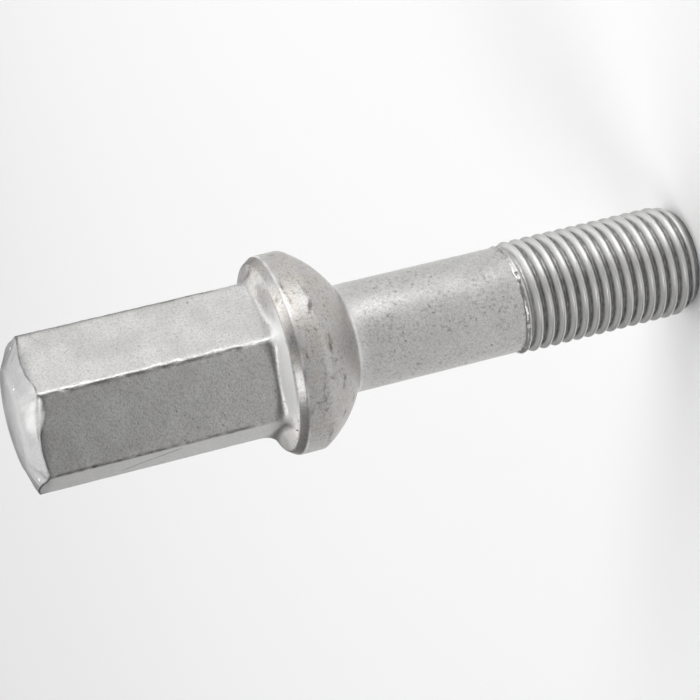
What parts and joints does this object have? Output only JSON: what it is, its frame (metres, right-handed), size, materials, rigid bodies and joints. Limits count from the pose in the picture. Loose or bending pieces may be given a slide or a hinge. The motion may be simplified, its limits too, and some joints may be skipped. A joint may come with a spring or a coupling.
{
  "type": "wheel bolt",
  "caption": "Long-headed wheel bolt with a hexagon drive, a ball-seat collar, a plain shank and a metric fine thread, forged in one piece.",
  "frame": {"origin": "centre of the flat end face of the thread, on which the bolt stands", "axes": "+Z along the bolt's axis from the thread end to the domed head; -Y is the outward normal of one wrench flat"},
  "size_m": [0.0242, 0.0242, 0.0856],
  "materials": {
    "coated_steel": "matte zinc flake coating"
  },
  "bodies": {
    "root": {"wheel_bolt": "coated_steel"}
  },
  "joints": []
}
